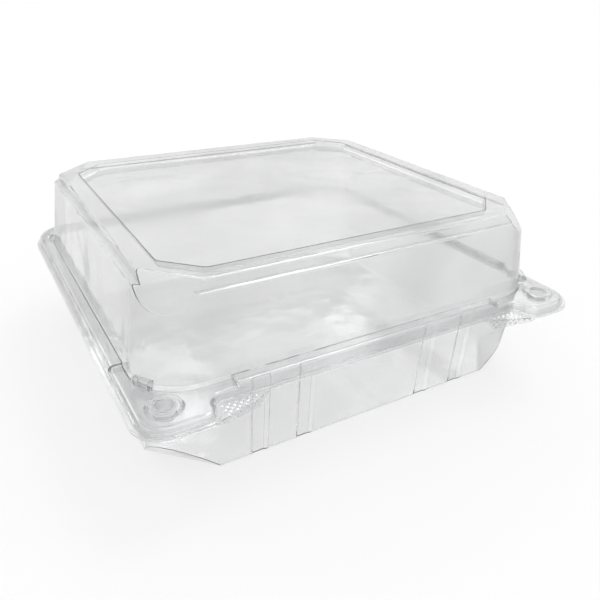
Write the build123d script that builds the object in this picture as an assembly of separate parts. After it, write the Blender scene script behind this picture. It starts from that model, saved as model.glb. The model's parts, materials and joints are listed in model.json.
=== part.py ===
from build123d import *
import os
from math import cos, radians, sin, sqrt

# A clear food pack formed from one plastic sheet: a tray and a domed lid, folded at a hinge along the back
# and held shut by a round snap button on each front corner. Millimetres, +Z up, front towards -Y, with the
# origin at the middle of the tray's flat bottom.

# Sheet and fits
sheet = 0.5  # gauge of the formed sheet
fit_gap = 0.3  # free play between the closed lid and the tray
overrun = 12.0  # how far cutting shapes reach past what they cut

# Heights
tray_height = 44.0  # table to the top of the tray's lip
skirt_height = 5.5  # tray lip to the top of the lid's rim
dome_height = 42.3  # lid rim to the top of the lid

# Lid rim: its width, and the flat shelf left between the dome's foot and the rim's edge
rim_width = 229.4
shelf_side = 5.2
shelf_front = 6.0
shelf_rear = 9.5
rim_radius = 2.2  # edge between rim and skirt
rim_rear_radius = 20.0
skirt_flare = 0.6  # how far the skirt spreads over its height
flange_width = 1.6  # flat edge that lies on the tray's lip

# Dome walls, from the level of the tray's lip up to the shoulder under the crown
foot_depth = 199.0
foot_radius = 24.0
foot_flare = 1.0  # spread of the wall where it meets the rim
foot_flare_height = 2.2
wall_lean_side = 6.7
wall_lean_end = 3.0
shoulder_radius = 22.0
shoulder_edge_radius = 1.3
ledge = 2.8  # step from the shoulder in to the top's edge
lug_radius = 2.4  # small lugs at the wall's foot that keep stacked lids apart
lug_length = 8.0
lug_reach = 0.6  # lug centre line outside the wall's corner
lug_rise = 2.4  # lug centre line above the tabs
lug_turn = 33.0  # degrees from the X axis, about the corner's centre

# Lid top, a rectangle with its corners cut off by sloping facets
top_corner = 20.8  # leg of each cut corner
facet_slope = 50.0  # degrees from level
crown_height = 4.6  # upright band under the top edge
crown_draft = 0.6  # how far the band leans out over its height
crown_radius = 1.4  # edge round the top
border_width = 9.6  # flat border round the recessed panel
panel_depth = 3.5
panel_lean = 0.8  # how far the recess closes in over its depth
panel_radius = 4.0
panel_edge_radius = 1.5  # edge round the panel's floor

# Corner tabs and the raised rim between them
tab_width = 29.6
tab_reach = 11.2  # how far a tab stands out from the straight rim
tab_radius = 11.5
tab_sweep_share = 0.49  # radius of the S-curve beside a tab, as a share of the tab's reach
tab_drop = 1.8  # tabs lie this far below the raised rim
bar_end = 41.7  # rim's side edge to the end of the raised rim along the front
side_bar_end = 35.5  # rim's front edge to the end of the raised rim along each side

# Snap buttons
button_side = 12.0  # centre from the rim's side edge
button_front = 12.4  # centre from the tab's front edge
ring_radius = 7.8
ring_height = 1.2
ring_lean = 0.6
dimple_radius = 3.8
dimple_depth = 3.0
dimple_lean = 0.4

# Tray walls
mouth_setback = 0.4  # tray wall inside the dome's foot
tray_lean_side = 4.6
tray_lean_end = 2.6
tray_radius = 23.0  # upright corners
bottom_corner = 27.5  # leg of each cut corner
bottom_slope = 52.0  # degrees from level of the facets under the corners
bottom_radius = 2.2  # edge between walls and bottom

# Flutes pressed into the front wall, a pair on each side
flute_inset = 50.1  # tray's side wall to the outer flute
flute_pitch = 23.6
flute_mouth = 8.5
flute_floor = 5.5
flute_depth = 1.6

# Tray lip with the finger grips beside the tabs
lip_margin = 2.4  # lip beyond the lid's rim and tabs
lip_tab_radius = 14.0
lip_rear_radius = 23.5
grip_start = 25.5  # rim's side edge to where a grip leaves the tab's front edge
grip_end = 57.2  # rim's side edge to where it meets the straight front edge
grip_radius = 12.0
leaf_drop = 5.0  # turned-down leaf under the grip's slanting edge
leaf_radius = 4.0
leaf_run_shares = (0.06, 0.12, 0.74, 0.92)  # its corners along the slanting edge, from the tab
leaf_fall_shares = (0, 0.42, 1, 0)  # how far each corner hangs down

# Hinge
hinge_reach = 3.6  # rim's rear edge to the crease
hinge_side = 22.0  # rim's side edge to the end of the fold

# Levels
lip_top = tray_height
rim_top = lip_top + skirt_height
tab_top = rim_top - tab_drop
lid_top = rim_top + dome_height
shoulder_top = lid_top - crown_height
skirt_foot = lip_top + fit_gap
bead_inset = sheet + fit_gap  # the tray's bead lies this far inside the lid's rim
bead_top = rim_top - bead_inset

# Plan sizes that follow from the rim and the dome
foot_width = rim_width - 2 * shelf_side
top_width = foot_width - 2 * (wall_lean_side + ledge)
top_depth = foot_depth - 2 * (wall_lean_end + ledge)
rim_front = foot_depth / 2 + shelf_front
rim_rear = foot_depth / 2 + shelf_rear
tab_front = rim_front + tab_reach
mouth_width = foot_width - 2 * mouth_setback
mouth_depth = foot_depth - 2 * mouth_setback
bottom_width = mouth_width - 2 * tray_lean_side
bottom_depth = mouth_depth - 2 * tray_lean_end
button_x = rim_width / 2 - button_side
button_y = tab_front - button_front
crease_height = lip_top + fit_gap / 2
crease_rear = rim_rear + hinge_reach
fold_inner = fit_gap / 2
fold_outer = fold_inner + sheet
fold_rear = crease_rear - fold_outer  # where both lips turn into the fold
hinge_length = rim_width - 2 * hinge_side
sides = (-1, 1)
upward, downward = sides[::-1]
upright = Axis.Z.direction
quarter_turn = 90  # degrees
leg_loss_share = 2 - sqrt(2)  # what a cut corner's leg loses as its outline shrinks


def round_near(outline, points, radius):
    corners = [outline.vertices().sort_by_distance(Vector(x, y))[0] for x, y in points]
    return fillet(corners, radius)


def cut_corner(width, depth, leg, radius):
    outline = chamfer(Rectangle(width, depth).vertices(), leg)
    return fillet(outline.vertices(), radius)


def grown(outline, amount):
    return offset(outline, amount) if amount else outline


def raise_between(low, low_height, high, high_height):
    return loft([Pos(0, 0, low_height) * low, Pos(0, 0, high_height) * high], ruled=True)


def round_top(form, radius):
    return fillet(form.faces().sort_by(Axis.Z)[-1].edges(), radius)


def round_bottom(form, radius):
    return fillet(form.faces().sort_by(Axis.Z)[0].edges(), radius)


def block(x_low, x_high, y_low, y_high, z_low, z_high):
    size = Box(x_high - x_low, y_high - y_low, z_high - z_low)
    return Pos((x_low + x_high) / 2, (y_low + y_high) / 2, (z_low + z_high) / 2) * size


# Sloping facets that cut the four corners, under the lid's top and over the tray's bottom
def cut_facets(form, width, depth, leg, level, slope, facing, inset):
    tilt = radians(slope)
    for side_x in sides:
        for side_y in sides:
            outward = Vector(side_x, side_y, 0).normalized()
            normal = outward * sin(tilt) + upright * facing * cos(tilt)
            middle = Vector(side_x * (width - leg) / 2, side_y * (depth - leg) / 2, level)
            facet = Plane(origin=middle - normal * inset, z_dir=normal)
            form = split(form, bisect_by=facet, keep=Keep.BOTTOM)
    return form


# Lid dome
def dome_outline(height, grow):
    share = (height - lip_top) / (shoulder_top - lip_top)
    width = foot_width - 2 * wall_lean_side * share
    depth = foot_depth - 2 * wall_lean_end * share
    radius = foot_radius + (shoulder_radius - foot_radius) * share
    return RectangleRounded(width + 2 * grow, depth + 2 * grow, radius + grow)


def corner_lug(side_x, side_y, inset):
    turn = radians(lug_turn)
    reach = foot_radius + lug_reach
    x = side_x * (foot_width / 2 - foot_radius + reach * cos(turn))
    y = side_y * (foot_depth / 2 - foot_radius + reach * sin(turn))
    lug = Rot(quarter_turn, 0, 0) * Cylinder(lug_radius - inset, lug_length - 2 * inset)
    return Pos(x, y, tab_top + lug_rise) * Rot(0, 0, side_x * side_y * lug_turn) * lug


def dome_form(inset):
    shoulder = dome_outline(shoulder_top, -inset)
    form = raise_between(dome_outline(lip_top, -inset), lip_top, shoulder, shoulder_top - inset)
    form = round_top(form, shoulder_edge_radius - inset)
    crown_grow = 2 * crown_draft - 2 * inset
    crown_foot = Rectangle(top_width + crown_grow, top_depth + crown_grow)
    crown_top = Rectangle(top_width - 2 * inset, top_depth - 2 * inset)
    form += raise_between(crown_foot, shoulder_top - crown_height, crown_top, lid_top - inset)
    form = cut_facets(form, top_width, top_depth, top_corner, lid_top, facet_slope, upward, inset)
    form = round_top(form, crown_radius - inset)
    flare_low = tab_top - 2 * sheet
    flare_high = tab_top + foot_flare_height
    flare_foot = dome_outline(flare_low, foot_flare - inset)
    form += raise_between(flare_foot, flare_low, dome_outline(flare_high, -inset), flare_high)
    for side_x in sides:
        for side_y in sides:
            form += corner_lug(side_x, side_y, inset)
    return form


def panel_outline(shrink):
    leg = top_corner - shrink * leg_loss_share
    return cut_corner(top_width - 2 * shrink, top_depth - 2 * shrink, leg, panel_radius)


def panel_form(grow):
    high = panel_outline(border_width - panel_lean - grow)
    low = panel_outline(border_width + panel_lean - grow)
    form = raise_between(low, lid_top - panel_depth - grow, high, lid_top + panel_depth)
    return round_bottom(form, panel_edge_radius + grow)


# Lid rim, which the tray's bead repeats further in
def rim_outline():
    half_width = rim_width / 2
    inner_x = half_width - tab_width
    outline = Pos(0, (rim_rear - rim_front) / 2) * Rectangle(rim_width, rim_rear + rim_front)
    for side in sides:
        middle_x = side * (half_width - tab_width / 2)
        outline += Pos(middle_x, -tab_front / 2) * Rectangle(tab_width, tab_front)
    sweep_radius = tab_reach * tab_sweep_share
    outline = round_near(outline, [(side * half_width, rim_rear) for side in sides], rim_rear_radius)
    outline = round_near(outline, [(side * half_width, -tab_front) for side in sides], tab_radius)
    outline = round_near(outline, [(side * inner_x, -tab_front) for side in sides], sweep_radius)
    return round_near(outline, [(side * inner_x, -rim_front) for side in sides], sweep_radius)


def tab_space(side, inset, low):
    bar_half = rim_width / 2 - bar_end
    near, far = sorted((side * (bar_half - inset), side * (rim_width / 2 + overrun)))
    rear = side_bar_end - rim_front + inset
    return block(near, far, -tab_front - overrun, rear, low, rim_top + overrun)


def rim_layer(inset, bottom, top):
    spread_share = skirt_flare / skirt_height
    low = grown(rim_outline(), (rim_top - inset - bottom) * spread_share - inset)
    high = grown(rim_outline(), (rim_top - inset - top) * spread_share - inset)
    return round_top(raise_between(low, bottom, high, top), rim_radius - inset)


def rim_form(inset, bottom):
    form = rim_layer(inset, bottom, rim_top - inset)
    tabs = rim_layer(inset, bottom, tab_top - inset)
    for side in sides:
        space = tab_space(side, inset, bottom - overrun)
        form = form - space + (tabs & space)
    for side in sides:
        place = Pos(side * button_x, -button_y, tab_top - inset)
        ring = Cone(ring_radius - inset, ring_radius - ring_lean - inset, ring_height)
        dimple_height = dimple_depth + ring_height
        dimple = Cone(dimple_radius - dimple_lean + inset, dimple_radius + inset, dimple_height)
        form += place * Pos(0, 0, ring_height / 2) * ring
        form -= place * Pos(0, 0, ring_height - dimple_height / 2) * dimple
    return form


# Hinge fold, a quarter turn of sheet on each half
def fold_half(side):
    ring = Circle(fold_outer) - Circle(fold_inner)
    quarter = Pos(fold_outer / 2, side * fold_outer / 2) * Rectangle(fold_outer, fold_outer)
    tail_place = Pos(fold_rear - fold_outer / 2, crease_height + side * (fold_inner + fold_outer) / 2)
    section = Pos(fold_rear, crease_height) * (ring & quarter) + tail_place * Rectangle(fold_outer, sheet)
    return extrude(Plane.YZ * section, amount=hinge_length / 2, both=True)


def make_lid():
    flange = grown(rim_outline(), skirt_flare + flange_width)
    outer = rim_form(0, skirt_foot) + extrude(Pos(0, 0, skirt_foot) * flange, amount=sheet)
    outer = outer + dome_form(0) - panel_form(0)
    inner = rim_form(sheet, lip_top - overrun) + dome_form(sheet) - panel_form(sheet)
    half_hinge = hinge_length / 2
    leaf_front = rim_rear + skirt_flare
    hinge_leaf = block(-half_hinge, half_hinge, leaf_front, fold_rear, skirt_foot, skirt_foot + sheet)
    return outer - inner + hinge_leaf + fold_half(upward)


# Tray
def wall_outline(height, inset):
    share = height / rim_top
    width = bottom_width + 2 * tray_lean_side * share
    depth = bottom_depth + 2 * tray_lean_end * share
    return RectangleRounded(width - 2 * inset, depth - 2 * inset, tray_radius - inset)


def flute_section(height, inset):
    wall_y = -bottom_depth / 2 - tray_lean_end * height / rim_top
    mouth = flute_mouth / 2 + inset
    floor = flute_floor / 2 + inset
    outside = wall_y - overrun
    inside = wall_y + flute_depth + inset
    points = [(-mouth, outside), (mouth, outside), (mouth, wall_y + inset), (floor, inside)]
    points += [(-floor, inside), (-mouth, wall_y + inset)]
    return Polygon(*points, align=None)


def wall_form(inset, high):
    form = raise_between(wall_outline(inset, inset), inset, wall_outline(high, inset), high)
    form = cut_facets(form, bottom_width, bottom_depth, bottom_corner, 0, bottom_slope, downward, inset)
    form = round_bottom(form, bottom_radius - inset)
    flute_top = lip_top - sheet + inset
    section_low = flute_section(-overrun, inset)
    section_high = flute_section(flute_top, inset)
    flute = raise_between(section_low, -overrun, section_high, flute_top)
    outer_flute = mouth_width / 2 - flute_inset
    for side in sides:
        for place in (outer_flute, outer_flute - flute_pitch):
            form -= Pos(side * place, 0, 0) * flute
    return form


def lip_corners(side):
    half_rim = rim_width / 2
    front = -tab_front - lip_margin
    corner = (side * (half_rim + lip_margin), front)
    grip_outer = (side * (half_rim - grip_start), front)
    grip_inner = (side * (half_rim - grip_end), -rim_front - lip_margin)
    return (side * (half_rim + lip_margin), fold_rear), corner, grip_outer, grip_inner


def lip_outline():
    left, right = [lip_corners(side) for side in sides]
    outline = Polygon(*right, *reversed(left), align=None)
    radii = (lip_rear_radius, lip_tab_radius, grip_radius, grip_radius)
    for corners, radius in zip(zip(left, right), radii):
        outline = round_near(outline, corners, radius)
    return outline


def grip_leaf(side):
    start, end = [Vector(x, y, lip_top - sheet / 2) for x, y in lip_corners(side)[2:]]
    along = end - start
    face = Plane(origin=start, x_dir=along, z_dir=along.cross(upright))
    hang = sheet / 2 + leaf_drop
    corners = [(run * along.length, -fall * hang) for run, fall in zip(leaf_run_shares, leaf_fall_shares)]
    leaf = round_near(Polygon(*corners, align=None), corners[1:-1], leaf_radius)
    return extrude(face * leaf, amount=side * sheet)


def make_tray():
    lip = extrude(Pos(0, 0, lip_top - sheet) * lip_outline(), amount=sheet)
    tray = rim_form(bead_inset, lip_top - sheet) + lip
    tray -= rim_form(bead_inset + sheet, lip_top - overrun)
    wall_inset = bead_inset + sheet / 2  # the wall ends inside the bead's sheet
    wall = wall_form(0, rim_top - wall_inset)
    for side in sides:
        wall -= tab_space(side, wall_inset, tab_top - wall_inset)
    tray += wall
    tray -= wall_form(sheet, bead_top + overrun)
    for side in sides:
        tray += grip_leaf(side)
    return tray + fold_half(downward)


os.makedirs("parts", exist_ok=True)
for name, make in (("tray", make_tray), ("lid", make_lid)):
    export_step(make(), f"parts/{name}.step")
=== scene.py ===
import json
import math

import bpy
from mathutils import Matrix, Vector


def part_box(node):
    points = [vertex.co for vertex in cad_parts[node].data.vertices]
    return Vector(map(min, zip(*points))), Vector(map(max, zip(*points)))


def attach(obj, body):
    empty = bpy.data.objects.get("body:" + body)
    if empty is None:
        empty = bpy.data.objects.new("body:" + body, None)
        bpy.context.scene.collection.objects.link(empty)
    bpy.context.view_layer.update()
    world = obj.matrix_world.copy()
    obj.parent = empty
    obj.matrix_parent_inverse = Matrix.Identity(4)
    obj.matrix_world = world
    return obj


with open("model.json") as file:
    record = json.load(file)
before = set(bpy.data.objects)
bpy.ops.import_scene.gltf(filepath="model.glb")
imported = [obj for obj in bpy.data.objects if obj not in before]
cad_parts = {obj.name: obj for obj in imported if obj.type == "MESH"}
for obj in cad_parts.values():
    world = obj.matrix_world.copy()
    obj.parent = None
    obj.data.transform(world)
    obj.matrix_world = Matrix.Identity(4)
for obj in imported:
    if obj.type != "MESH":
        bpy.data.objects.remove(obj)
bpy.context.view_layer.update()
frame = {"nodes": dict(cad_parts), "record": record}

scene = bpy.context.scene
print("frame loaded")


# ripple: slow waves that forming leaves in a thin sheet, and a faint haze from handling
rippleSizes = {"distortion": 0.4, "detail": 1.5, "hazePerMetre": 13.0, "hazeDetail": 1.5, "hazeBend": 0.8,
               "hazeFrom": 0.36, "hazeTo": 0.66}


def addColorMix(nodes):
    mix = nodes.new("ShaderNodeMix")
    mix.data_type = "RGBA"
    colors = {socket.name: socket for socket in mix.inputs if socket.type == "RGBA"}
    result = [socket for socket in mix.outputs if socket.type == "RGBA"][0]
    return mix.inputs[0], colors["A"], colors["B"], result


def makeRippleGroup():
    group = bpy.data.node_groups.new("sheetRipple", "ShaderNodeTree")
    for socketName in ("Waves", "Smoothest", "Roughest"):
        group.interface.new_socket(socketName, in_out="INPUT", socket_type="NodeSocketFloat")
    for socketName in ("Thin", "Thick"):
        group.interface.new_socket(socketName, in_out="INPUT", socket_type="NodeSocketColor")
    group.interface.new_socket("Height", in_out="OUTPUT", socket_type="NodeSocketFloat")
    group.interface.new_socket("Roughness", in_out="OUTPUT", socket_type="NodeSocketFloat")
    group.interface.new_socket("Tint", in_out="OUTPUT", socket_type="NodeSocketColor")
    nodes, links = group.nodes, group.links
    start = nodes.new("NodeGroupInput")
    end = nodes.new("NodeGroupOutput")
    place = nodes.new("ShaderNodeTexCoord")
    waves = nodes.new("ShaderNodeTexNoise")
    waves.inputs["Detail"].default_value = rippleSizes["detail"]
    waves.inputs["Distortion"].default_value = rippleSizes["distortion"]
    haze = nodes.new("ShaderNodeTexNoise")
    haze.inputs["Scale"].default_value = rippleSizes["hazePerMetre"]
    haze.inputs["Detail"].default_value = rippleSizes["hazeDetail"]
    haze.inputs["Distortion"].default_value = rippleSizes["hazeBend"]
    spread = nodes.new("ShaderNodeMapRange")
    spread.inputs["From Min"].default_value = rippleSizes["hazeFrom"]
    spread.inputs["From Max"].default_value = rippleSizes["hazeTo"]
    gloss = nodes.new("ShaderNodeMapRange")
    thickness, thin, thick, tint = addColorMix(nodes)
    links.new(place.outputs["Object"], waves.inputs["Vector"])
    links.new(place.outputs["Object"], haze.inputs["Vector"])
    links.new(start.outputs["Waves"], waves.inputs["Scale"])
    links.new(haze.outputs["Fac"], spread.inputs["Value"])
    links.new(spread.outputs["Result"], gloss.inputs["Value"])
    links.new(start.outputs["Smoothest"], gloss.inputs["To Min"])
    links.new(start.outputs["Roughest"], gloss.inputs["To Max"])
    links.new(spread.outputs["Result"], thickness)
    links.new(start.outputs["Thin"], thin)
    links.new(start.outputs["Thick"], thick)
    links.new(waves.outputs["Fac"], end.inputs["Height"])
    links.new(gloss.outputs["Result"], end.inputs["Roughness"])
    links.new(tint, end.inputs["Tint"])
    return group


rippleGroup = makeRippleGroup()


# clear formed sheet: a faint cool grey, deeper where it is drawn thick and in its shade; along its edges,
# where it is seen at a glancing angle, a painted shade greys its colour
lidSheet = {"thin": (0.985, 0.986, 0.988, 1.0), "thick": (0.87, 0.872, 0.875, 1.0), "ior": 1.57,
            "edge": (0.4, 0.402, 0.405, 1.0), "glancingShadeBlend": 0.22,
            "greying": 8.0, "absorb": (0.4, 0.405, 0.41, 1.0), "waves": 34.0, "waveHeight": 0.0004,
            "smoothest": 0.03, "roughest": 0.09, "shade": (0.958, 0.958, 0.958, 1.0)}
traySheet = {"thin": (0.985, 0.986, 0.988, 1.0), "thick": (0.9, 0.902, 0.905, 1.0), "ior": 1.57,
             "edge": (0.4, 0.402, 0.405, 1.0), "glancingShadeBlend": 0.22,
             "greying": 8.0, "absorb": (0.4, 0.405, 0.41, 1.0), "waves": 44.0, "waveHeight": 0.0004,
             "smoothest": 0.03, "roughest": 0.09, "shade": (0.958, 0.958, 0.958, 1.0)}


def makeClearSheet(name, look):
    material = bpy.data.materials.new(name)
    material.use_nodes = True
    nodes, links = material.node_tree.nodes, material.node_tree.links
    shader = nodes["Principled BSDF"]
    shader.inputs["Transmission Weight"].default_value = 1.0
    shader.inputs["IOR"].default_value = look["ior"]
    ripple = nodes.new("ShaderNodeGroup")
    ripple.node_tree = rippleGroup
    for socketName in ("Waves", "Smoothest", "Roughest", "Thin", "Thick"):
        ripple.inputs[socketName].default_value = look[socketName.lower()]
    bump = nodes.new("ShaderNodeBump")
    bump.inputs["Strength"].default_value = 1.0
    bump.inputs["Distance"].default_value = look["waveHeight"]
    links.new(ripple.outputs["Height"], bump.inputs["Height"])
    links.new(bump.outputs["Normal"], shader.inputs["Normal"])
    links.new(ripple.outputs["Roughness"], shader.inputs["Roughness"])
    edge = nodes.new("ShaderNodeLayerWeight")  # painted shade: the sheet's colour darkens where it is seen at a glancing angle, in place of darker reflections
    edge.inputs["Blend"].default_value = look["glancingShadeBlend"]
    # the edge colour is a painted shade, mixed in by how glancingly the sheet is seen
    glancingShadeAmount, faceTint, glancingShadeTint, tint = addColorMix(nodes)
    glancingShadeTint.default_value = look["edge"]
    links.new(edge.outputs["Facing"], glancingShadeAmount)
    links.new(ripple.outputs["Tint"], faceTint)
    links.new(tint, shader.inputs["Base Color"])
    grey = nodes.new("ShaderNodeVolumeAbsorption")
    grey.inputs["Color"].default_value = look["absorb"]
    grey.inputs["Density"].default_value = look["greying"]
    links.new(grey.outputs["Volume"], nodes["Material Output"].inputs["Volume"])
    path = nodes.new("ShaderNodeLightPath")  # light on the floor passes straight through the thin walls
    soft = nodes.new("ShaderNodeMath")
    soft.operation = "MAXIMUM"
    through = nodes.new("ShaderNodeBsdfTransparent")
    through.inputs["Color"].default_value = look["shade"]
    mix = nodes.new("ShaderNodeMixShader")
    links.new(path.outputs["Is Shadow Ray"], soft.inputs[0])
    links.new(path.outputs["Is Diffuse Ray"], soft.inputs[1])
    links.new(soft.outputs["Value"], mix.inputs[0])
    links.new(shader.outputs["BSDF"], mix.inputs[1])
    links.new(through.outputs["BSDF"], mix.inputs[2])
    links.new(mix.outputs["Shader"], nodes["Material Output"].inputs["Surface"])
    return material


lidMaterial = makeClearSheet("lidClearSheet", lidSheet)
trayMaterial = makeClearSheet("trayClearSheet", traySheet)
for nodeName, material in (("lid", lidMaterial), ("tray", trayMaterial)):
    mesh = frame["nodes"][nodeName].data
    mesh.materials.clear()
    mesh.materials.append(material)
print("clear sheet on tray and lid")


# finger grips: low pressed dots on the lip beside each tab, and on the leaf turned down under its edge
gripDots = {"pitch": 0.0021, "baseRadius": 0.00075, "topRadius": 0.0005, "height": 0.0006, "sink": 0.00012,
            "sides": 8, "rowTurn": 45.0, "probe": 0.01}
gripShape = {"startFromSide": 0.0279, "endFromSide": 0.0596, "tabReach": 0.0112, "hingeGap": 0.00015,
             "flangeBehind": 0.0002, "innerRadius": 0.0033, "flangeFromSide": 0.0342, "outerRadius": 0.0077,
             "edgeMargin": 0.0005, "flangeMargin": 0.0008, "arcSteps": 6,
             "leafRuns": (0.12, 0.15, 0.71, 0.84), "leafFalls": (0.0011, 0.0018, 0.0045, 0.0011)}


def makeDotTree():
    tree = bpy.data.node_groups.new("gripDotRows", "GeometryNodeTree")
    tree.interface.new_socket("Patch", in_out="INPUT", socket_type="NodeSocketGeometry")
    for socketName in ("Pitch", "Base Radius", "Top Radius", "Height", "Sink"):
        tree.interface.new_socket(socketName, in_out="INPUT", socket_type="NodeSocketFloat")
    tree.interface.new_socket("Sheet", in_out="INPUT", socket_type="NodeSocketMaterial")
    tree.interface.new_socket("Dots", in_out="OUTPUT", socket_type="NodeSocketGeometry")
    nodes, links = tree.nodes, tree.links
    start = nodes.new("NodeGroupInput")
    end = nodes.new("NodeGroupOutput")
    box = nodes.new("GeometryNodeBoundBox")
    links.new(start.outputs["Patch"], box.inputs["Geometry"])
    reach = nodes.new("ShaderNodeVectorMath")  # the turned rows cover the patch from corner to corner
    reach.operation = "DISTANCE"
    links.new(box.outputs["Max"], reach.inputs[0])
    links.new(box.outputs["Min"], reach.inputs[1])
    cells = nodes.new("ShaderNodeMath")
    cells.operation = "DIVIDE"
    links.new(reach.outputs["Value"], cells.inputs[0])
    links.new(start.outputs["Pitch"], cells.inputs[1])
    wholeCells = nodes.new("ShaderNodeMath")
    wholeCells.operation = "CEIL"
    links.new(cells.outputs["Value"], wholeCells.inputs[0])
    rowLength = nodes.new("ShaderNodeMath")
    rowLength.operation = "MULTIPLY"
    links.new(wholeCells.outputs["Value"], rowLength.inputs[0])
    links.new(start.outputs["Pitch"], rowLength.inputs[1])
    rowCount = nodes.new("ShaderNodeMath")
    rowCount.operation = "ADD"
    rowCount.inputs[1].default_value = 1.0
    links.new(wholeCells.outputs["Value"], rowCount.inputs[0])
    rows = nodes.new("GeometryNodeMeshGrid")
    for axis in ("X", "Y"):
        links.new(rowLength.outputs["Value"], rows.inputs["Size " + axis])
        links.new(rowCount.outputs["Value"], rows.inputs["Vertices " + axis])
    middle = nodes.new("ShaderNodeMix")
    middle.data_type = "VECTOR"
    middle.inputs["Factor"].default_value = 0.5
    vectorIn = [socket for socket in middle.inputs if socket.type == "VECTOR" and socket.name in ("A", "B")]
    vectorOut = [socket for socket in middle.outputs if socket.type == "VECTOR"][0]
    links.new(box.outputs["Min"], vectorIn[0])
    links.new(box.outputs["Max"], vectorIn[1])
    turned = nodes.new("GeometryNodeTransform")
    turned.inputs["Rotation"].default_value = (0.0, 0.0, math.radians(gripDots["rowTurn"]))
    links.new(rows.outputs["Mesh"], turned.inputs["Geometry"])
    links.new(vectorOut, turned.inputs["Translation"])
    position = nodes.new("GeometryNodeInputPosition")
    above = nodes.new("ShaderNodeVectorMath")
    above.operation = "ADD"
    above.inputs[1].default_value = (0.0, 0.0, gripDots["probe"])
    links.new(position.outputs["Position"], above.inputs[0])
    probe = nodes.new("GeometryNodeRaycast")  # a row point counts only where the patch lies under it
    probe.inputs["Ray Length"].default_value = 2 * gripDots["probe"]
    links.new(start.outputs["Patch"], probe.inputs["Target Geometry"])
    links.new(above.outputs["Vector"], probe.inputs["Source Position"])
    outside = nodes.new("FunctionNodeBooleanMath")
    outside.operation = "NOT"
    links.new(probe.outputs["Is Hit"], outside.inputs[0])
    kept = nodes.new("GeometryNodeDeleteGeometry")
    links.new(turned.outputs["Geometry"], kept.inputs["Geometry"])
    links.new(outside.outputs["Boolean"], kept.inputs["Selection"])
    dot = nodes.new("GeometryNodeMeshCone")
    dot.inputs["Vertices"].default_value = gripDots["sides"]
    links.new(start.outputs["Base Radius"], dot.inputs["Radius Bottom"])
    links.new(start.outputs["Top Radius"], dot.inputs["Radius Top"])
    links.new(start.outputs["Height"], dot.inputs["Depth"])
    lower = nodes.new("ShaderNodeCombineXYZ")
    links.new(start.outputs["Sink"], lower.inputs["Z"])
    seated = nodes.new("GeometryNodeTransform")
    links.new(dot.outputs["Mesh"], seated.inputs["Geometry"])
    links.new(lower.outputs["Vector"], seated.inputs["Translation"])
    spread = nodes.new("GeometryNodeInstanceOnPoints")
    links.new(kept.outputs["Geometry"], spread.inputs["Points"])
    links.new(seated.outputs["Geometry"], spread.inputs["Instance"])
    solid = nodes.new("GeometryNodeRealizeInstances")
    links.new(spread.outputs["Instances"], solid.inputs["Geometry"])
    finish = nodes.new("GeometryNodeSetMaterial")
    links.new(solid.outputs["Geometry"], finish.inputs["Geometry"])
    links.new(start.outputs["Sheet"], finish.inputs["Material"])
    links.new(finish.outputs["Geometry"], end.inputs["Dots"])
    return tree


def fillPatch(tree, outline):
    patchMesh = bpy.data.meshes.new("gripPatch")
    patchMesh.from_pydata([(x, y, 0.0) for x, y in outline], [], [tuple(range(len(outline)))])
    patch = bpy.data.objects.new("gripPatch", patchMesh)
    scene.collection.objects.link(patch)
    modifier = patch.modifiers.new("gripDotRows", "NODES")
    modifier.node_group = tree
    values = {"Pitch": gripDots["pitch"], "Base Radius": gripDots["baseRadius"],
              "Top Radius": gripDots["topRadius"], "Height": gripDots["height"], "Sink": -gripDots["sink"],
              "Sheet": trayMaterial}
    for socket in tree.interface.items_tree:
        if socket.in_out == "INPUT" and socket.name in values:
            modifier[socket.identifier] = values[socket.name]
    graph = bpy.context.evaluated_depsgraph_get()
    dots = bpy.data.meshes.new_from_object(patch.evaluated_get(graph), depsgraph=graph)
    patch.modifiers.remove(modifier)
    bpy.data.objects.remove(patch)
    return dots


def gripCorners(side):
    low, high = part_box("tray")
    outer = Vector((side * (high.x - gripShape["startFromSide"]), low.y, 0.0))
    inner = Vector((side * (high.x - gripShape["endFromSide"]), low.y + gripShape["tabReach"], 0.0))
    return outer, inner


def arcPoints(centre, radius, startTurn, endTurn):
    steps = gripShape["arcSteps"]
    turns = [startTurn + (endTurn - startTurn) * step / steps for step in range(steps + 1)]
    return [(centre[0] + radius * math.cos(turn), centre[1] + radius * math.sin(turn)) for turn in turns]


# flat of the lip between the slanting edge and the lid's flange, drawn for the right side and mirrored
def lipPatch(side):
    outer, inner = gripCorners(1)
    along = (inner - outer).normalized()
    start = outer + Vector((along.y, -along.x, 0.0)) * gripShape["edgeMargin"]
    gap = gripShape["flangeMargin"]
    low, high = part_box("tray")
    flangeX = high.x - gripShape["flangeFromSide"]
    flangeY = inner.y + gripShape["flangeBehind"]
    tabFront = low.y + gripShape["flangeBehind"]
    innerCentre = (flangeX - gripShape["innerRadius"], flangeY - gripShape["innerRadius"])
    outerCentre = (flangeX + gripShape["outerRadius"], tabFront + gripShape["outerRadius"])
    reach = gripShape["outerRadius"] + gap
    aside = (start.xy - Vector(outerCentre)).dot(along.xy)
    away = (start.xy - Vector(outerCentre)).length_squared - reach * reach
    nearTab = start + along * (-aside + math.sqrt(aside * aside - away))
    nearFront = start + along * ((flangeY - gap - start.y) / along.y)
    endTurn = math.atan2(nearTab.y - outerCentre[1], nearTab.x - outerCentre[0]) % (2 * math.pi)
    outline = [tuple(nearFront.xy)]
    outline += arcPoints(innerCentre, gripShape["innerRadius"] - gap, math.pi / 2, 0.0)
    outline += arcPoints(outerCentre, reach, math.pi, endTurn)
    return [(side * x, y) for x, y in outline]


# leaf turned down under the slanting edge: its patch runs along the edge and up
def leafPatch(side):
    outer, inner = gripCorners(side)
    length = (inner - outer).length
    corners = zip(gripShape["leafRuns"], gripShape["leafFalls"])
    return [(side * (0.5 - run) * length, -fall) for run, fall in corners]


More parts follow.
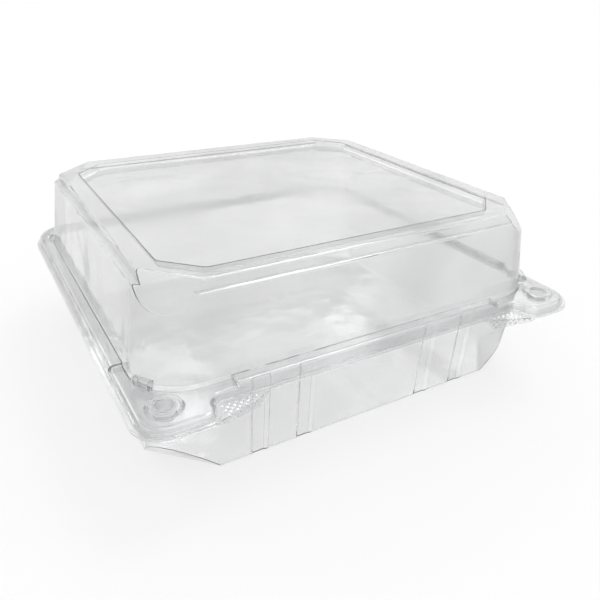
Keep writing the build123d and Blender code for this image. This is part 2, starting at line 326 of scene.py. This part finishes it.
def leafPlace(side):
    outer, inner = gripCorners(side)
    along = (inner - outer).normalized() * -side
    upright = Vector((0.0, 0.0, 1.0))
    turn = Matrix((along, upright, along.cross(upright))).transposed()
    return Matrix.Translation((outer + inner) / 2) @ turn.to_4x4()


def makeGripDots():
    tree = makeDotTree()
    hinge = frame["record"]["behaviour"]["joints"][0]
    lipTop = hinge["pos_m"][2] - gripShape["hingeGap"]
    parts = []
    for side in (-1, 1):
        for outline, place in ((lipPatch(side), Matrix()), (leafPatch(side), leafPlace(side))):
            dots = fillPatch(tree, outline)
            dots.transform(Matrix.Translation((0.0, 0.0, lipTop)) @ place)
            parts.append(dots)
    corners, faces = [], []
    for part in parts:
        faces += [[len(corners) + index for index in face.vertices] for face in part.polygons]
        corners += [tuple(vertex.co) for vertex in part.vertices]
    mesh = bpy.data.meshes.new("gripDots")
    mesh.from_pydata(corners, [], faces)
    mesh.materials.append(trayMaterial)
    dots = bpy.data.objects.new("gripDots", mesh)
    scene.collection.objects.link(dots)
    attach(dots, "tray")
    print("grip dots", len(faces), "faces")


makeGripDots()


# studio: a pale floor, an even sky and lamps that draw the edges
studio = {"floorColor": (0.93, 0.93, 0.93, 1.0), "floorRoughness": 0.9, "floorShine": 0.1, "floorReach": 6.0,
          "floorDrop": 0.0002, "skyColor": (1.0, 1.0, 1.0, 1.0), "skyLight": 0.74, "skySeen": 1.0}


def makeFloor():
    reach, low = studio["floorReach"], -studio["floorDrop"]
    mesh = bpy.data.meshes.new("floor")
    mesh.from_pydata([(-reach, -reach, low), (reach, -reach, low), (reach, reach, low), (-reach, reach, low)],
                     [], [(0, 1, 2, 3)])
    floor = bpy.data.objects.new("floor", mesh)
    scene.collection.objects.link(floor)
    material = bpy.data.materials.new("paleFloor")
    material.use_nodes = True
    shader = material.node_tree.nodes["Principled BSDF"]
    shader.inputs["Base Color"].default_value = studio["floorColor"]
    shader.inputs["Roughness"].default_value = studio["floorRoughness"]
    shader.inputs["Specular IOR Level"].default_value = studio["floorShine"]
    mesh.materials.append(material)


def makeSky():
    world = bpy.data.worlds.new("whiteStudio")
    scene.world = world
    world.use_nodes = True
    nodes, links = world.node_tree.nodes, world.node_tree.links
    nodes.clear()
    out = nodes.new("ShaderNodeOutputWorld")
    light = nodes.new("ShaderNodeBackground")
    light.inputs["Strength"].default_value = studio["skyLight"]
    seen = nodes.new("ShaderNodeBackground")
    seen.inputs["Strength"].default_value = studio["skySeen"]
    path = nodes.new("ShaderNodeLightPath")  # the camera and the clear sheet see the plain white sky
    mirrored = nodes.new("ShaderNodeMath")
    mirrored.operation = "MAXIMUM"
    anySeen = nodes.new("ShaderNodeMath")
    anySeen.operation = "MAXIMUM"
    mix = nodes.new("ShaderNodeMixShader")
    for background in (light, seen):
        background.inputs["Color"].default_value = studio["skyColor"]
    links.new(path.outputs["Is Camera Ray"], mirrored.inputs[0])
    links.new(path.outputs["Is Glossy Ray"], mirrored.inputs[1])
    links.new(mirrored.outputs["Value"], anySeen.inputs[0])
    links.new(path.outputs["Is Transmission Ray"], anySeen.inputs[1])
    links.new(anySeen.outputs["Value"], mix.inputs[0])
    links.new(light.outputs["Background"], mix.inputs[1])
    links.new(seen.outputs["Background"], mix.inputs[2])
    links.new(mix.outputs["Shader"], out.inputs["Surface"])


# lamps: the spread is in degrees, and a narrow lamp shows as a bright line on the rounded edges
lamps = {"overhead": {"from": (0.45, 0.12, 0.88), "spread": 22.0, "strength": 0.5},  # front edges
         "frontRight": {"from": (0.454, -0.459, 0.757), "spread": 80.0, "strength": 0.35},  # soft fill
         "rearHigh": {"from": (0.4, 0.55, 0.73), "spread": 36.0, "strength": 0.25},  # soft fill
         "rear": {"from": (0.18, 0.79, 0.585), "spread": 13.0, "strength": 0.055},  # left tab
         "rearBars": {"from": (0.6, 0.605, 0.525), "spread": 18.0, "strength": 0.07},  # tops of the bars
         "rearRight": {"from": (0.74, 0.48, 0.47), "spread": 20.0, "strength": 0.04},  # right tab
         "rearLeft": {"from": (-0.3, 0.76, 0.575), "spread": 18.0, "strength": 0.16}}  # left edges


def makeLamp(name, lamp):
    data = bpy.data.lights.new(name, "SUN")
    data.angle = math.radians(lamp["spread"])
    data.energy = lamp["strength"]
    place = bpy.data.objects.new(name, data)
    place.location = lamp["from"]
    place.rotation_euler = (-Vector(lamp["from"])).to_track_quat("-Z", "Y").to_euler()
    scene.collection.objects.link(place)


makeFloor()
makeSky()
for lampName, lamp in lamps.items():
    makeLamp(lampName, lamp)
print("studio ready")


# camera: solved from the photo, place measured from the middle of the lid's top
cameraView = {"offset": (-0.1531, -0.2868, 0.0981), "right": (0.8643, -0.5025, 0.0218),
              "up": (0.2159, 0.4099, 0.8862), "back": (-0.4542, -0.7613, 0.4628),
              "lens": 36.17, "sensor": 36.0, "nearest": 0.01}


def makeCamera():
    data = bpy.data.cameras.new("photoView")
    data.lens = cameraView["lens"]
    data.sensor_width = cameraView["sensor"]
    data.clip_start = cameraView["nearest"]
    camera = bpy.data.objects.new("photoView", data)
    scene.collection.objects.link(camera)
    turn = Matrix((cameraView["right"], cameraView["up"], cameraView["back"])).transposed()
    lidTop = Vector((0.0, 0.0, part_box("lid")[1].z))
    camera.matrix_world = Matrix.Translation(lidTop + Vector(cameraView["offset"])) @ turn.to_4x4()
    scene.camera = camera


makeCamera()
scene.view_settings.view_transform = "Standard"
print("camera set")


# bounces: enough for light to cross all the sheets and to run along inside them
bounces = {"max_bounces": 56, "transmission_bounces": 48, "glossy_bounces": 48, "transparent_max_bounces": 24}
for kind, count in bounces.items():
    setattr(scene.cycles, kind, count)
print("bounces set")
